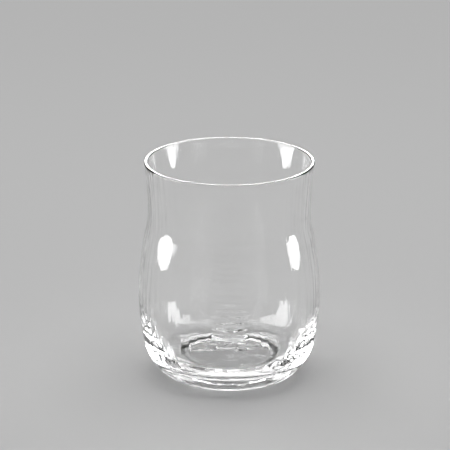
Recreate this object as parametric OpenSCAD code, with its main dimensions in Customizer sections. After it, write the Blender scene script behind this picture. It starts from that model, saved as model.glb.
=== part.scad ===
// Whiskey tumbler: a low tulip glass with a flared lip, a waist, a full belly and a thick base.
// Millimetres. Z is up, and the origin is the centre of the foot, on the table.
// The glass is one casting. Its outline is drawn once and turned about Z, then cut level
// into three zones that meet face to face: the base, the bowl and the lip.

/* [Silhouette] */
// Height from the table to the top of the lip
height = 100; // [94:1:108]
// Outer diameter at the lip
lip_d = 76; // [74:0.5:82]
// Outer diameter at the waist, where the glass is narrowest
waist_d = 73; // [68:0.5:75]
// Height of the waist
waist_z = 76.5; // [70:0.5:82]
// Outer diameter at the belly, where the glass is widest
belly_d = 82; // [80:0.5:86]
// Height of the belly
belly_z = 38; // [34:1:44]
// Radius of the hollow curve from the waist down to the belly's swell
shoulder_r = 35; // [20:1:60]
// Radius of the long curve from the belly down to the heel
lower_r = 115; // [90:1:140]
// Radius of the heel, where the side turns in
heel_r = 23; // [16:0.5:30]
// Radius of the tighter curve under the heel, which rolls on to the table
toe_r = 13; // [9:0.5:15]

/* [Glass] */
// Thickness of the blown wall and of the round lip
wall_t = 1.4; // [1:0.1:2]
// Height of the drinking floor above the table
floor_z = 9; // [6:0.5:12]
// Radius of the inner side from the belly down to the corner
inner_lower_r = 60; // [50:1:80]
// Radius of the corner between the inner side and the floor
inner_corner_r = 12; // [8:0.5:16]

/* [Foot] */
// Outer diameter of the flat ring that the glass stands on
foot_d = 46; // [40:1:49]
// Width of the flat ring
foot_ring_w = 2; // [0.6:0.1:3]
// Width of the soft slope from the ring up to the hollow underside
slope_w = 4; // [2:0.5:6]
// Height of the hollow underside above the table
hollow_h = 0.6; // [0.4:0.1:2.5]
// Diameter of the soft dimple in the middle of the underside
dimple_d = 22.6; // [14:0.2:28]
// Depth of the dimple above the hollow
dimple_h = 1; // [0.3:0.1:2]

/* [Zones] */
// Height of the base zone, with the solid floor and the heel
base_h = 20; // [16:1:26]
// Depth of the fire-polished lip zone
lip_h = 4; // [2.5:0.5:6]

/* [Hidden] */

// Straight chords in each curve of the outline
steps = 12;
$fn = 96;

lip_r = lip_d / 2;
waist_r = waist_d / 2;
belly_r = belly_d / 2;
foot_r = foot_d / 2;
ring_r = foot_r - foot_ring_w;
hollow_r = ring_r - slope_w;
dimple_r = dimple_d / 2;
glass_color = [0.86, 0.93, 0.95, 0.45];

// Radius of the circle that leaves a vertical tangent and passes a point at the given offset
function arc_through(dr, dz) = (dr * dr + dz * dz) / (2 * dr);

// Upper crossing of the circle about a, radius ra, with the circle about b, radius rb, to its right
function upper_crossing(a, ra, b, rb) =
    let (d = b - a,
         along = (ra * ra - rb * rb + d * d) / (2 * norm(d)),
         across = sqrt(ra * ra - along * along))
    a + (along * d + across * [-d.y, d.x]) / norm(d);

// Flare above the waist: its circle lies outside the glass
flare_r = arc_through(lip_r - waist_r, height - waist_z);
flare_c = [waist_r + flare_r, waist_z];
flare_top = asin((height - wall_t / 2 - waist_z) / (flare_r + wall_t / 2));

// Waist to belly: the hollow shoulder circle meets the swell circle of the belly
swell_r = arc_through(belly_r - waist_r, waist_z - belly_z) - shoulder_r;
shoulder_c = [waist_r + shoulder_r, waist_z];
swell_c = [belly_r - swell_r, belly_z];
swell_top = atan2(shoulder_c.y - swell_c.y, shoulder_c.x - swell_c.x);

// Belly to foot: the long side circle rolls into the heel circle, and that into the toe circle
lower_c = [belly_r - lower_r, belly_z];
toe_c = [foot_r, toe_r];
heel_c = upper_crossing(lower_c, lower_r - heel_r, toe_c, heel_r - toe_r);
heel_top = atan2(heel_c.y - lower_c.y, heel_c.x - lower_c.x);
toe_top = atan2(toe_c.y - heel_c.y, toe_c.x - heel_c.x);

// Inside, below the belly: the side circle rolls into the corner circle, which touches the floor
inner_c = [belly_r - wall_t - inner_lower_r, belly_z];
floor_r = inner_c.x + sqrt(pow(inner_lower_r - inner_corner_r, 2)
                           - pow(belly_z - floor_z - inner_corner_r, 2));
corner_c = [floor_r, floor_z + inner_corner_r];
corner_top = atan2(corner_c.y - inner_c.y, corner_c.x - inner_c.x);

// Lip: a half-round bead that closes the wall
lip_c = flare_c + (flare_r + wall_t / 2) * [-cos(flare_top), sin(flare_top)];

// Points along a circle from angle a0 to angle a1
function arc(c, r, a0, a1) =
    [for (i = [0 : steps]) let (a = a0 + (a1 - a0) * i / steps) c + r * [cos(a), sin(a)]];

// The same points without the first, for a curve that carries on from the one before it
function arc_on(c, r, a0, a1) =
    let (p = arc(c, r, a0, a1)) [for (i = [1 : steps]) p[i]];

// Soft step down from one point to another: two equal arcs, level at both ends
function soft_step(from, to) =
    let (w = to.x - from.x,
         h = from.y - to.y,
         r = arc_through(h / 2, w / 2),
         turn = asin(w / 2 / r))
    concat(arc(from - [0, r], r, 90, 90 - turn),
           arc_on(to + [0, r], r, -90 - turn, -90));

underside = concat(
    soft_step([0, hollow_h + dimple_h], [dimple_r, hollow_h]),
    soft_step([hollow_r, hollow_h], [ring_r, 0]));

outside = concat(
    arc(toe_c, toe_r, -90, toe_top),
    arc_on(heel_c, heel_r, toe_top, heel_top),
    arc_on(lower_c, lower_r, heel_top, 0),
    arc_on(swell_c, swell_r, 0, swell_top),
    arc_on(shoulder_c, shoulder_r, 180 + swell_top, 180),
    arc_on(flare_c, flare_r, 180, 180 - flare_top));

bead = concat(
    arc_on(lip_c, wall_t / 2, -flare_top, 90),
    arc_on(lip_c, wall_t / 2, 90, 180 - flare_top));

inside = concat(
    arc_on(flare_c, flare_r + wall_t, 180 - flare_top, 180),
    arc_on(shoulder_c, shoulder_r + wall_t, 180, 180 + swell_top),
    arc_on(swell_c, swell_r - wall_t, swell_top, 0),
    arc_on(inner_c, inner_lower_r, 0, corner_top),
    arc_on(corner_c, inner_corner_r, corner_top, -90),
    [[0, floor_z]]);

// Half the section through the axis, from the top of the dimple round to the middle of the floor
module section() {
    polygon(concat(underside, outside, bead, inside));
}

// The glass between two levels, as one solid of revolution
module zone(from_z, to_z) {
    rotate_extrude()
        intersection() {
            section();
            translate([0, from_z]) square([belly_d, to_z - from_z]);
        }
}

// Thick base: heel, foot ring, hollow underside and the bottom of the cup
module base() {
    color(glass_color) zone(0, base_h);
}

// Thin blown bowl: the belly, the waist and the flare
module bowl() {
    color(glass_color) zone(base_h, height - lip_h);
}

// Lip: the top of the flare with its fire-polished bead
module lip() {
    color(glass_color) zone(height - lip_h, height);
}

base();
bowl();
lip();
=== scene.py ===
"""Visual model of the whiskey tumbler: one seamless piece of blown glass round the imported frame.

Metres. Z is up and the origin is the centre of the foot, on the table, as in the frame.
The glass is a lathe of the outline that the design uses, with the small unevenness of blown
glass added: upright optic streaks in the walls, a wavier inside low down, a wavy hollow underside,
and a fine line round the drinking floor and round the dimple.
"""

from math import asin, atan2, ceil, cos, hypot, pi, radians, sin, sqrt

import bpy
import numpy as np
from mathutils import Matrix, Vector


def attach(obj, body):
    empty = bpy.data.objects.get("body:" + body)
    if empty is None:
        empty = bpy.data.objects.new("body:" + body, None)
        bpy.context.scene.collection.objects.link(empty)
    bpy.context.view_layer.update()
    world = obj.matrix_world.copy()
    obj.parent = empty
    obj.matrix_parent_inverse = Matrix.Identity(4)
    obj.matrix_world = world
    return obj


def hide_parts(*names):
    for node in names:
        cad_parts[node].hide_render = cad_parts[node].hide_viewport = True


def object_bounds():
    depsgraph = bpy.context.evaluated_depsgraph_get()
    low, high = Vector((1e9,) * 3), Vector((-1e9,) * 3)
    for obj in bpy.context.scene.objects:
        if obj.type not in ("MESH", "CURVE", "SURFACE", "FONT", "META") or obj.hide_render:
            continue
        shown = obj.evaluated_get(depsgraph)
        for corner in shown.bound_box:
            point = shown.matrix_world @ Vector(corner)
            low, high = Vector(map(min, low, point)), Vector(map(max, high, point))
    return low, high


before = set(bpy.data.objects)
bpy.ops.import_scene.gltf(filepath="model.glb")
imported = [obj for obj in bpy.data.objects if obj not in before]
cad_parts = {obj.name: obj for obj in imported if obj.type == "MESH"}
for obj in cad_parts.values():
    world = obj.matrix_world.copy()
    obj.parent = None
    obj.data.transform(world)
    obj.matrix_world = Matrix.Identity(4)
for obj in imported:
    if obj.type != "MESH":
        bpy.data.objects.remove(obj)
cad_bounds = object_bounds()

MM = 0.001

# Outline. Height and belly come from the frame; the rest repeats the design's driving sizes.
HEIGHT = cad_bounds[1].z
BELLY_R = cad_bounds[1].x
LIP_R = 38 * MM
WAIST_R = 36.5 * MM
WAIST_Z = 76.5 * MM
BELLY_Z = 38 * MM
SHOULDER_R = 35 * MM
LOWER_R = 115 * MM
HEEL_R = 23 * MM
TOE_R = 13 * MM
WALL = 1.4 * MM
FLOOR_Z = 9 * MM
INNER_LOWER_R = 60 * MM
INNER_CORNER_R = 12 * MM
FOOT_R = 23 * MM
RING_R = 21 * MM
HOLLOW_R = 17 * MM
HOLLOW_H = 0.6 * MM
DIMPLE_R = 11.3 * MM
DIMPLE_H = 1 * MM

# Mesh
SEGMENTS = 576
SPACING = 2.6 * MM
FINE_SPACING = 0.8 * MM
BEAD_SPACING = 0.12 * MM
FLOOR_RINGS = (0.97, 0.94, 0.9, 0.75, 0.6, 0.45, 0.3, 0.15, 0)
ON_AXIS = 0.01 * MM

# Unevenness of the blown glass. Lobes are counts round the glass, and sway is in radians.
# Each fade, here and below, goes from where the effect is none to where it is full.
OUTSIDE_SIZE = 0.025 * MM
OUTSIDE_LOBES = range(5, 81, 5)
OUTSIDE_SWAY = 7
OUTSIDE_FADE = (0.02 * HEIGHT, 0.2 * HEIGHT)
INSIDE_SIZE = 0.02 * MM
INSIDE_LOBES = range(7, 83, 4)
INSIDE_SWAY = 9
INSIDE_FADE = (0.14 * HEIGHT, 0.3 * HEIGHT)
LOW_SIZE = 0.12 * MM
LOW_LOBES = range(4, 60, 4)
LOW_SWAY = 60
LOW_FADE = (0.3 * HEIGHT, 0.12 * HEIGHT)
LOW_FLOOR_FADE = (FLOOR_Z, FLOOR_Z + 2 * MM)
UNDER_SIZE = 0.3 * MM
UNDER_LOBES = range(2, 12, 2)
UNDER_SWAY = 40
UNDER_FADE = (0.2 * RING_R, 0.6 * RING_R)
UNDER_RING_FADE = (RING_R, 0.85 * RING_R)
LOBE_WEAKENING = 0.1
LOBE_SWAY_STEP = 3.1
GOLDEN = pi * (3 - sqrt(5))

# Fine lines round the drinking floor and the dimple
LINE_WIDTH = 1.5 * MM
FLOOR_LINE_R = 24 * MM
FLOOR_LINE_TOP = 0.12 * HEIGHT
FLOOR_LINE_DEPTH = 0.2 * MM
DIMPLE_LINE_DEPTH = 0.2 * MM

# Glass and the fine marks in its surface
GLASS_IOR = 1.52
DRAW_LINE_SIZE = 2.4 * MM
DRAW_LINE_STRETCH = 20
DRAW_LINE_DEPTH = 0.07 * MM
DRAW_LINE_FADE = (0.12 * HEIGHT, 0.25 * HEIGHT)
RIPPLE_PITCH = 3 * MM
RIPPLE_LOW = 26 * MM
RIPPLE_HIGH = 50 * MM
RIPPLE_DEPTH = 0.25 * MM
RIPPLE_WANDER = 2.5
RIPPLE_WANDER_SCALE = 0.6
RIPPLE_PATCH_SIZE = 9 * MM
WAVES_PER_METRE = 20 / (2 * pi)  # what Blender's wave texture draws at scale 1
WRINKLE_SIZE = 6 * MM
WRINKLE_DEPTH = 0.1 * MM
WRINKLE_FADE = (0.2 * HEIGHT, 0.08 * HEIGHT)
HAZE_SIZE = 8 * MM
HAZE_ROUGHNESS = 0.006
SCUFF_ROUGHNESS = 0.5
SCUFF_FADE = (0.4 * MM, 0.05 * MM)

# Camera, in metres and radians, with its lens and sensor in millimetres
CAMERA_PLACE = (0, -1.0, 0.3973)
CAMERA_DOWN = radians(18.136)
CAMERA_TURN = radians(0.112)
LENS_MM = 187.8
SENSOR_MM = 36
FARTHEST = 20

# Stage
FLOOR_SIZE = 12.0
FLOOR_GREY = 0.6
FLOOR_ROUGHNESS = 0.8
FLOOR_NEAR = 0.25
FLOOR_FAR = 1.1
HORIZON = 0.46
HORIZON_FADE = radians(16)
ROOM = 0.04

# Lights: brightness, size, place and the point they face
SIDE_LIGHT = 6.5
SIDE_WIDTHS = (0.4, 0.3)
SIDE_HEIGHT = 0.74
SIDE_PLACE = (0.39, 0.02, 0.375)
BACK_LIGHT = 5.0
BACK_SIZE = (1.0, 0.22)
BACK_PLACE = (0, 1.4, 0.26)
BACK_AIM = (0, 0, 0)
RIM_LIGHT = 22.0
RIM_SIZE = (0.8, 0.7)
RIM_PLACE = (0, 1.3, 0.6)
RIM_AIM = (0, 0, HEIGHT)
TOP_LIGHT = 3.2
TOP_SIZE = (2.0, 2.0)
TOP_PLACE = (0, 0.2, 2.0)
TOP_AIM = (0, 0.19, 0)

# Light bounces inside the glass
BOUNCES = 24
GLOSSY_BOUNCES = 16


def arc(centre, radius, start, end, spacing=SPACING):
    """Points along a circle from one angle to another, about one spacing apart."""
    steps = max(4, ceil(abs(end - start) * radius / spacing))
    turn = [start + (end - start) * i / steps for i in range(steps + 1)]
    return [(centre[0] + radius * cos(a), centre[1] + radius * sin(a)) for a in turn]


def arc_through(across, up):
    """Radius of the circle that leaves an upright tangent and passes a point at that offset."""
    return (across**2 + up**2) / (2 * across)


def crossing(first, first_r, second, second_r):
    """Where the circles about two points cross, on the left on the way from the first to the second."""
    dx, dy = second[0] - first[0], second[1] - first[1]
    gap = hypot(dx, dy)
    along = (first_r**2 - second_r**2 + gap**2) / (2 * gap)
    across = sqrt(first_r**2 - along**2)
    return (
        first[0] + (along * dx - across * dy) / gap,
        first[1] + (along * dy + across * dx) / gap,
    )


def soft_step(start, end):
    """Two equal arcs from a high point out to a lower one, level at both ends."""
    width, drop = end[0] - start[0], start[1] - end[1]
    radius = arc_through(drop / 2, width / 2)
    turn = asin(width / 2 / radius)
    upper = arc((start[0], start[1] - radius), radius, pi / 2, pi / 2 - turn, FINE_SPACING)
    lower = arc((end[0], end[1] + radius), radius, -pi / 2 - turn, -pi / 2, FINE_SPACING)
    return upper + lower[1:]


def outline():
    """The closed half outline, from the middle of the underside round to the middle of the floor.

    Returns four runs of points: underside, outside, bead and inside.
    """
    flare_r = arc_through(LIP_R - WAIST_R, HEIGHT - WAIST_Z)
    flare_c = (WAIST_R + flare_r, WAIST_Z)

    middle_r = flare_r + WALL / 2
    lip_z = HEIGHT - WALL / 2
    flare_top = asin((lip_z - WAIST_Z) / middle_r)
    lip_c = (flare_c[0] - middle_r * cos(flare_top), lip_z)

    swell_r = arc_through(BELLY_R - WAIST_R, WAIST_Z - BELLY_Z) - SHOULDER_R
    shoulder_c = (WAIST_R + SHOULDER_R, WAIST_Z)
    swell_c = (BELLY_R - swell_r, BELLY_Z)
    swell_top = atan2(shoulder_c[1] - swell_c[1], shoulder_c[0] - swell_c[0])

    lower_c = (BELLY_R - LOWER_R, BELLY_Z)
    toe_c = (FOOT_R, TOE_R)
    heel_c = crossing(lower_c, LOWER_R - HEEL_R, toe_c, HEEL_R - TOE_R)
    heel_top = atan2(heel_c[1] - lower_c[1], heel_c[0] - lower_c[0])
    toe_top = atan2(toe_c[1] - heel_c[1], toe_c[0] - heel_c[0])

    inner_c = (BELLY_R - WALL - INNER_LOWER_R, BELLY_Z)
    corner_z = FLOOR_Z + INNER_CORNER_R
    floor_r = inner_c[0] + sqrt((INNER_LOWER_R - INNER_CORNER_R) ** 2 - (BELLY_Z - corner_z) ** 2)
    corner_c = (floor_r, corner_z)
    corner_top = atan2(corner_z - inner_c[1], floor_r - inner_c[0])

    underside = soft_step((0, HOLLOW_H + DIMPLE_H), (DIMPLE_R, HOLLOW_H))
    underside += soft_step((HOLLOW_R, HOLLOW_H), (RING_R, 0))

    outside = arc(toe_c, TOE_R, -pi / 2, toe_top, FINE_SPACING)
    outside += arc(heel_c, HEEL_R, toe_top, heel_top, FINE_SPACING)[1:]
    outside += arc(lower_c, LOWER_R, heel_top, 0)[1:]
    outside += arc(swell_c, swell_r, 0, swell_top)[1:]
    outside += arc(shoulder_c, SHOULDER_R, pi + swell_top, pi)[1:]
    outside += arc(flare_c, flare_r, pi, pi - flare_top)[1:]

    bead = arc(lip_c, WALL / 2, -flare_top, pi - flare_top, BEAD_SPACING)[1:]

    inside = arc(flare_c, flare_r + WALL, pi - flare_top, pi)[1:]
    inside += arc(shoulder_c, SHOULDER_R + WALL, pi, pi + swell_top)[1:]
    inside += arc(swell_c, swell_r - WALL, swell_top, 0)[1:]
    inside += arc(inner_c, INNER_LOWER_R, 0, corner_top)[1:]
    inside += arc(corner_c, INNER_CORNER_R, corner_top, -pi / 2, FINE_SPACING)[1:]
    inside += [(floor_r * share, FLOOR_Z) for share in FLOOR_RINGS]
    return underside, outside, bead, inside


def fade(value, none, full):
    """0 at none and beyond it, 1 at full and beyond it, and smooth between."""
    t = np.clip((value - none) / (full - none), 0, 1)
    return t * t * (3 - 2 * t)


def streaks(around, along, lobes, sway):
    """Uneven ribs that drift sideways as they run along the surface. About -1 to 1."""
    total = 0
    weight = 0
    for i, count in enumerate(lobes):
        share = 1 / (1 + LOBE_WEAKENING * i)
        drift = sway * sin(LOBE_SWAY_STEP * i) * along / HEIGHT
        total = total + share * np.cos(count * around + GOLDEN * (i + 1) ** 2 + drift)
        weight += share * share
    return total / sqrt(2 * weight)


def unevenness(around, radius, height, side):
    """How far the glass stands out from the true outline along its normal, in metres."""
    if side == "under":
        in_hollow = fade(radius, *UNDER_FADE) * fade(radius, *UNDER_RING_FADE)
        wave = UNDER_SIZE * in_hollow * streaks(around, radius, UNDER_LOBES, UNDER_SWAY)
        return wave + DIMPLE_LINE_DEPTH * fade(abs(radius - DIMPLE_R), LINE_WIDTH, 0)
    if side == "inside":
        in_wall = fade(height, *INSIDE_FADE)
        wall = INSIDE_SIZE * in_wall * streaks(around, height, INSIDE_LOBES, INSIDE_SWAY)
        if height < FLOOR_LINE_TOP:
            wall -= FLOOR_LINE_DEPTH * fade(abs(radius - FLOOR_LINE_R), LINE_WIDTH, 0)
        low = fade(height, *LOW_FLOOR_FADE) * fade(height, *LOW_FADE)
        return wall + LOW_SIZE * low * streaks(around, height, LOW_LOBES, LOW_SWAY)
    off_foot = fade(height, *OUTSIDE_FADE)
    return OUTSIDE_SIZE * off_foot * streaks(around, height, OUTSIDE_LOBES, OUTSIDE_SWAY)


def lathe(name):
    """The glass as one closed mesh of revolution, a little uneven as blown glass is."""
    underside, outside, bead, inside = outline()
    points = np.array(underside + outside + bead + inside)
    sides = ["under"] * len(underside)
    sides += ["outside"] * len(outside + bead)
    sides += ["inside"] * len(inside)
    ahead = np.vstack([points[1:], points[-1:]])
    behind = np.vstack([points[:1], points[:-1]])
    run = ahead - behind
    out = np.column_stack([run[:, 1], -run[:, 0]]) / np.linalg.norm(run, axis=1)[:, None]
    around = np.arange(SEGMENTS) * 2 * pi / SEGMENTS

    verts = []
    rings = []
    for (radius, height), (out_r, out_z), side in zip(points, out, sides):
        if radius < ON_AXIS:
            rings.append([len(verts)])
            verts.append((0, 0, height))
            continue
        rise = unevenness(around, radius, height, side)
        rings.append(range(len(verts), len(verts) + SEGMENTS))
        r = radius + rise * out_r
        z = height + rise * out_z
        verts += list(zip(r * np.cos(around), r * np.sin(around), z))

    faces = []
    for ring, after in zip(rings[:-1], rings[1:]):
        for here in range(SEGMENTS):
            there = (here + 1) % SEGMENTS
            if len(ring) == 1:
                faces.append((ring[0], after[there], after[here]))
            elif len(after) == 1:
                faces.append((ring[here], ring[there], after[0]))
            else:
                faces.append((ring[here], ring[there], after[there], after[here]))
    mesh = bpy.data.meshes.new(name)
    mesh.from_pydata(verts, [], faces)
    mesh.polygons.foreach_set("use_smooth", [True] * len(faces))
    mesh.update()
    piece = bpy.data.objects.new(name, mesh)
    bpy.context.scene.collection.objects.link(piece)
    return piece


def node(tree, kind, **values):
    """A new shader node with its sockets or properties set."""
    made = tree.nodes.new(kind)
    for key, value in values.items():
        if key in made.inputs:
            made.inputs[key].default_value = value
        else:
            setattr(made, key, value)
    return made


def between(tree, value, low, high):
    """0 where the value is below low, 1 above high, with a smooth rise; high may be the lower one."""
    ramp = node(tree, "ShaderNodeMapRange", interpolation_type="SMOOTHSTEP")
    ramp.inputs["From Min"].default_value = low
    ramp.inputs["From Max"].default_value = high
    tree.links.new(value, ramp.inputs["Value"])
    return ramp.outputs["Result"]


def combine(tree, operation, first, second=0):
    """One maths node on two sockets or numbers."""
    maths = node(tree, "ShaderNodeMath", operation=operation)
    for socket, value in zip(maths.inputs, (first, second)):
        if isinstance(value, (int, float)):
            socket.default_value = value
        else:
            tree.links.new(value, socket)
    return maths.outputs[0]


def sum_of(tree, *terms):
    """The sum of products: each term is a list of sockets and numbers to multiply."""
    total = None
    for term in terms:
        product = None
        for factor in term:
            product = factor if product is None else combine(tree, "MULTIPLY", product, factor)
        total = product if total is None else combine(tree, "ADD", total, product)
    return total


def noise(tree, coords, size, detail, stretch=1):
    """Soft noise with lumps about one size across, drawn out upright by the given factor."""
    mapping = node(tree, "ShaderNodeMapping")
    mapping.inputs["Scale"].default_value = (1, 1, 1 / stretch)
    texture = node(tree, "ShaderNodeTexNoise", Scale=1 / size, Detail=detail)
    tree.links.new(coords, mapping.inputs["Vector"])
    tree.links.new(mapping.outputs["Vector"], texture.inputs["Vector"])
    return texture.outputs["Fac"]


def ripples(tree, coords, x, y, z):
    """A ladder of level ripples on each quarter of the belly, weaker at the left and right."""
    wave = node(tree, "ShaderNodeTexWave", wave_type="BANDS", bands_direction="Z")
    wave.inputs["Scale"].default_value = 1 / WAVES_PER_METRE / RIPPLE_PITCH
    wave.inputs["Distortion"].default_value = RIPPLE_WANDER
    wave.inputs["Detail Scale"].default_value = RIPPLE_WANDER_SCALE
    tree.links.new(coords, wave.inputs["Vector"])
    turn = combine(tree, "ARCTAN2", y, x)
    quarters = combine(tree, "COSINE", combine(tree, "MULTIPLY", turn, 4))
    halves = combine(tree, "COSINE", combine(tree, "MULTIPLY", turn, 2))
    on_quarter = between(tree, quarters, 0.6, 1)
    front_and_back = between(tree, halves, 2, -1)
    patches = between(tree, noise(tree, coords, RIPPLE_PATCH_SIZE, detail=1), 0.3, 0.6)
    above = between(tree, z, RIPPLE_LOW - RIPPLE_PITCH, RIPPLE_LOW + RIPPLE_PITCH)
    below = between(tree, z, RIPPLE_HIGH + 2 * RIPPLE_PITCH, RIPPLE_HIGH - 2 * RIPPLE_PITCH)
    return [wave.outputs["Fac"], on_quarter, front_and_back, patches, above, below, RIPPLE_DEPTH]


def glass_material():
    """Clear fire-polished glass with the faint marks of blowing.

    The bump holds upright draw lines, a ladder of mould ripples on each quarter of the belly and
    wrinkles in the base. The roughness is a trace of haze, and the foot ring is scuffed.
    """
    material = bpy.data.materials.new("clear_glass")
    material.use_nodes = True
    tree = material.node_tree
    shader = tree.nodes["Principled BSDF"]
    shader.inputs["Base Color"].default_value = (1, 1, 1, 1)
    shader.inputs["Transmission Weight"].default_value = 1
    shader.inputs["IOR"].default_value = GLASS_IOR

    coords = node(tree, "ShaderNodeTexCoord").outputs["Object"]
    split = node(tree, "ShaderNodeSeparateXYZ")
    tree.links.new(coords, split.inputs["Vector"])
    x, y, z = split.outputs

    lines = noise(tree, coords, DRAW_LINE_SIZE, detail=2, stretch=DRAW_LINE_STRETCH)
    in_wall = between(tree, z, *DRAW_LINE_FADE)
    wrinkles = noise(tree, coords, WRINKLE_SIZE, detail=3)
    in_base = between(tree, z, *WRINKLE_FADE)
    height = sum_of(
        tree,
        [lines, in_wall, DRAW_LINE_DEPTH],
        ripples(tree, coords, x, y, z),
        [wrinkles, in_base, WRINKLE_DEPTH],
    )
    bump = node(tree, "ShaderNodeBump", Strength=1, Distance=1)
    tree.links.new(height, bump.inputs["Height"])
    tree.links.new(bump.outputs["Normal"], shader.inputs["Normal"])

    haze = noise(tree, coords, HAZE_SIZE, detail=4)
    hazy = between(tree, haze, 0.5, 0.75)
    on_ring = between(tree, z, *SCUFF_FADE)
    rough = sum_of(tree, [hazy, HAZE_ROUGHNESS], [haze, on_ring, SCUFF_ROUGHNESS])
    tree.links.new(rough, shader.inputs["Roughness"])
    return material


def floor_material():
    """Plain pale matt surface that fades into the room far from the glass."""
    material = bpy.data.materials.new("pale_floor")
    material.use_nodes = True
    tree = material.node_tree
    shader = tree.nodes["Principled BSDF"]
    shader.inputs["Base Color"].default_value = (FLOOR_GREY, FLOOR_GREY, FLOOR_GREY, 1)
    shader.inputs["Roughness"].default_value = FLOOR_ROUGHNESS
    shader.inputs["Specular IOR Level"].default_value = 0
    room = node(tree, "ShaderNodeEmission", Color=(HORIZON, HORIZON, HORIZON, 1))
    coords = node(tree, "ShaderNodeTexCoord")
    reach = node(tree, "ShaderNodeVectorMath", operation="LENGTH")
    mix = node(tree, "ShaderNodeMixShader")
    tree.links.new(coords.outputs["Object"], reach.inputs[0])
    tree.links.new(between(tree, reach.outputs["Value"], FLOOR_NEAR, FLOOR_FAR), mix.inputs[0])
    tree.links.new(shader.outputs[0], mix.inputs[1])
    tree.links.new(room.outputs[0], mix.inputs[2])
    tree.links.new(mix.outputs[0], tree.nodes["Material Output"].inputs["Surface"])
    return material


def make_floor():
    """A large level floor under the foot."""
    half = FLOOR_SIZE / 2
    mesh = bpy.data.meshes.new("floor")
    corners = [(-half, -half, 0), (half, -half, 0), (half, half, 0), (-half, half, 0)]
    mesh.from_pydata(corners, [], [(0, 1, 2, 3)])
    mesh.materials.append(floor_material())
    floor = bpy.data.objects.new("floor", mesh)
    bpy.context.scene.collection.objects.link(floor)


def softbox(name, shape, place, aim, size, brightness):
    """An area light facing a point, equally bright to look at whatever its size."""
    light = bpy.data.lights.new(name, "AREA")
    light.shape = shape
    light.size, light.size_y = size
    light.energy = brightness * pi * size[0] * size[1]
    lamp = bpy.data.objects.new(name, light)
    lamp.location = place
    lamp.rotation_euler = (Vector(aim) - Vector(place)).to_track_quat("-Z", "Y").to_euler()
    bpy.context.scene.collection.objects.link(lamp)
    return lamp


def only_in_reflections(lamp):
    """Makes a lamp show only in light that a surface has mirrored, and not light the floor."""
    lamp.visible_diffuse = False
    lamp.data.use_nodes = True
    tree = lamp.data.node_tree
    path = node(tree, "ShaderNodeLightPath")
    mirrored = combine(tree, "MINIMUM", path.outputs["Glossy Depth"], 1)
    tree.links.new(mirrored, tree.nodes["Emission"].inputs["Strength"])


def make_lights():
    """A soft light overhead, and four softboxes that light only the glass.

    Two tall ones stand at the sides and show only in light that the glass has mirrored. A low one
    stands far behind. One above it shows only where it is mirrored straight off a surface, mostly
    along the rim.
    """
    for name, side, width in zip(("left_softbox", "right_softbox"), (-1, 1), SIDE_WIDTHS):
        place = (side * SIDE_PLACE[0], *SIDE_PLACE[1:])
        aim = (0, *SIDE_PLACE[1:])
        lamp = softbox(name, "ELLIPSE", place, aim, (width, SIDE_HEIGHT), SIDE_LIGHT)
        only_in_reflections(lamp)
    back = softbox("back_softbox", "RECTANGLE", BACK_PLACE, BACK_AIM, BACK_SIZE, BACK_LIGHT)
    back.visible_diffuse = False
    rim = softbox("rim_softbox", "RECTANGLE", RIM_PLACE, RIM_AIM, RIM_SIZE, RIM_LIGHT)
    rim.visible_diffuse = False
    rim.visible_transmission = False
    softbox("top_softbox", "RECTANGLE", TOP_PLACE, TOP_AIM, TOP_SIZE, TOP_LIGHT)


def make_room():
    """A plain grey room: lighter at the horizon, where it meets the floor, and darker overhead."""
    world = bpy.data.worlds.new("room")
    bpy.context.scene.world = world
    world.use_nodes = True
    tree = world.node_tree
    coords = node(tree, "ShaderNodeTexCoord")
    split = node(tree, "ShaderNodeSeparateXYZ")
    ramp = node(tree, "ShaderNodeMapRange", interpolation_type="SMOOTHSTEP")
    ramp.inputs["From Min"].default_value = 0
    ramp.inputs["From Max"].default_value = sin(HORIZON_FADE)
    ramp.inputs["To Min"].default_value = HORIZON
    ramp.inputs["To Max"].default_value = ROOM
    tree.links.new(coords.outputs["Generated"], split.inputs["Vector"])
    tree.links.new(split.outputs["Z"], ramp.inputs["Value"])
    tree.links.new(ramp.outputs["Result"], tree.nodes["Background"].inputs["Color"])


def make_camera():
    """The camera looks down at the glass from about 19 degrees above it."""
    data = bpy.data.cameras.new("camera")
    data.sensor_width = SENSOR_MM
    data.lens = LENS_MM
    data.clip_end = FARTHEST
    camera = bpy.data.objects.new("camera", data)
    camera.location = CAMERA_PLACE
    camera.rotation_euler = (pi / 2 - CAMERA_DOWN, 0, CAMERA_TURN)
    bpy.context.scene.collection.objects.link(camera)
    bpy.context.scene.camera = camera


make_camera()
make_floor()
make_lights()
make_room()

glass = lathe("tumbler_glass")
glass.data.materials.append(glass_material())
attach(glass, "root")
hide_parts("base", "bowl", "lip")

scene = bpy.context.scene
scene.view_settings.view_transform = "Standard"
scene.cycles.max_bounces = BOUNCES
scene.cycles.transmission_bounces = BOUNCES
scene.cycles.glossy_bounces = GLOSSY_BOUNCES
